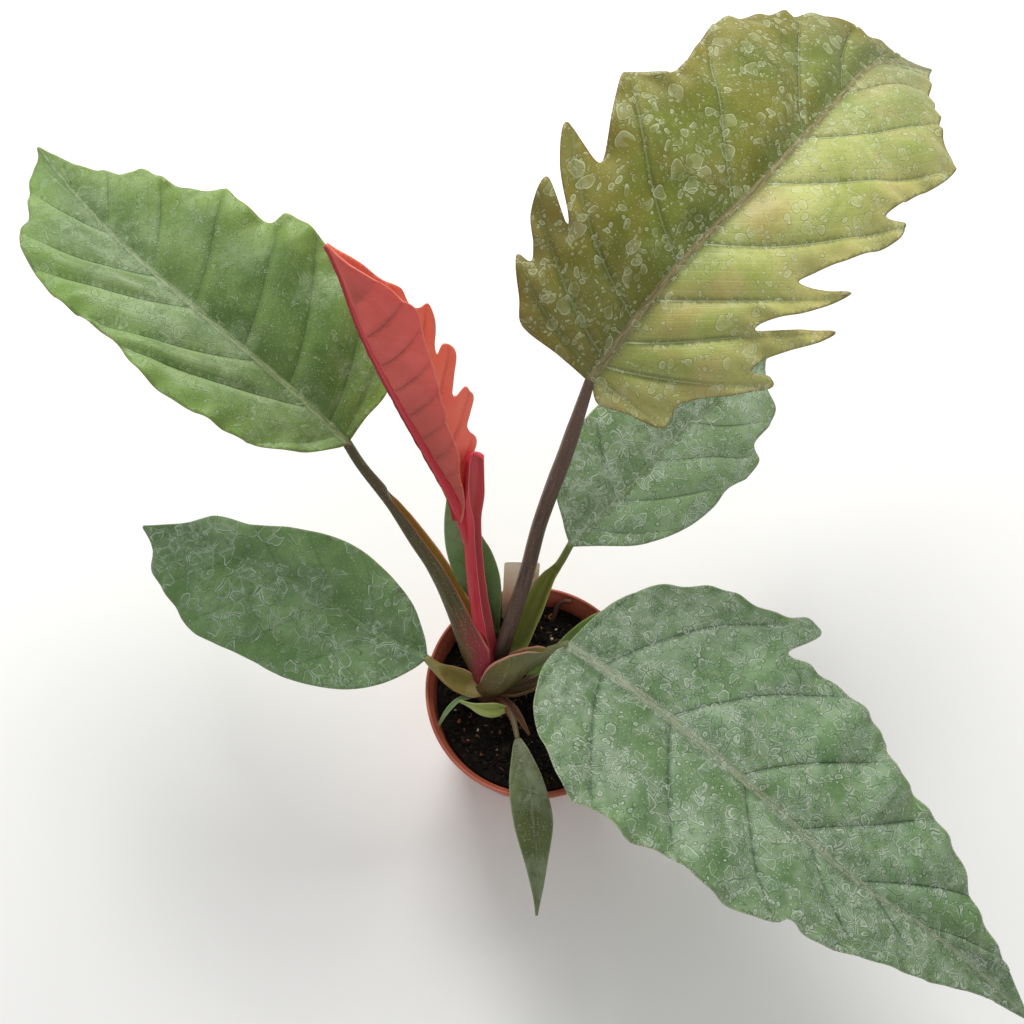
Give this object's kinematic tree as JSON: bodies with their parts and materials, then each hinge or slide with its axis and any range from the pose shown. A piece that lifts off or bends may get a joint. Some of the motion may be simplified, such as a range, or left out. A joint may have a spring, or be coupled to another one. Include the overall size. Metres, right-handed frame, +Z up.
{
  "type": "potted choco empress philodendron",
  "caption": "Potted aroid with broad lobed bronze and green leaves, a furled red new leaf and sheathed stalks rising from dark soil in a thin round nursery pot.",
  "frame": {"origin": "centre of the pot's flat underside, on the surface it stands on", "axes": "+Z up; +X towards the long dark green leaf at the lower right of the picture; +Y towards the bronze leaf at the back"},
  "size_m": [0.449, 0.4162, 0.3006],
  "materials": {
    "pot_plastic": "satin terracotta-coloured plastic",
    "peat_soil": "dark damp peat with bark crumbs",
    "crown": "brownish red stem",
    "label_plastic": "milky white plastic, blank",
    "bronze_petiole": "dark brown stalk with pale flecks",
    "bronze_blade": "olive to bronze leaf with pale water marks",
    "red_petiole": "crimson stalk",
    "red_blade": "coral red new leaf",
    "upper_left_petiole": "dark olive stalk with pink sheath edge",
    "upper_left_blade": "mid green leaf",
    "back_petiole": "green sheathed stalk",
    "back_blade": "blue green leaf with pale water marks",
    "lower_right_petiole": "olive sheathed stalk",
    "lower_right_blade": "dark green leaf with pale water marks",
    "lower_left_petiole": "olive sheathed stalk",
    "lower_left_blade": "dark green leaf",
    "hanging_petiole": "reddish brown stalk",
    "hanging_blade": "olive green leaf with whitish patches",
    "juvenile_petiole": "green stalk",
    "juvenile_blade": "fresh green leaf",
    "bud_leaf": "yellow green leaf",
    "strip_leaf": "pale green narrow leaf",
    "green_cataphyll": "bright green leaf",
    "low_sheath": "pinkish olive sheath",
    "cataphyll_remains": "dry reddish brown skin",
    "dried_stalk": "dry brown stalk"
  },
  "bodies": {
    "root": {"pot": "pot_plastic", "soil": "peat_soil", "stem_crown": "crown", "plant_label": "label_plastic", "bronze_leaf_petiole": "bronze_petiole", "bronze_leaf_blade": "bronze_blade", "red_leaf_petiole": "red_petiole", "red_leaf_blade": "red_blade", "upper_left_leaf_petiole": "upper_left_petiole", "upper_left_leaf_blade": "upper_left_blade", "back_leaf_petiole": "back_petiole", "back_leaf_blade": "back_blade", "lower_right_leaf_petiole": "lower_right_petiole", "lower_right_leaf_blade": "lower_right_blade", "lower_left_leaf_petiole": "lower_left_petiole", "lower_left_leaf_blade": "lower_left_blade", "hanging_leaf_petiole": "hanging_petiole", "hanging_leaf_blade": "hanging_blade", "juvenile_leaf_petiole": "juvenile_petiole", "juvenile_leaf_blade": "juvenile_blade", "bud_leaf": "bud_leaf", "strip_leaf": "strip_leaf", "green_cataphyll": "green_cataphyll", "low_sheath": "low_sheath", "cataphyll_remains": "cataphyll_remains", "dried_stalk": "dried_stalk"}
  },
  "joints": []
}
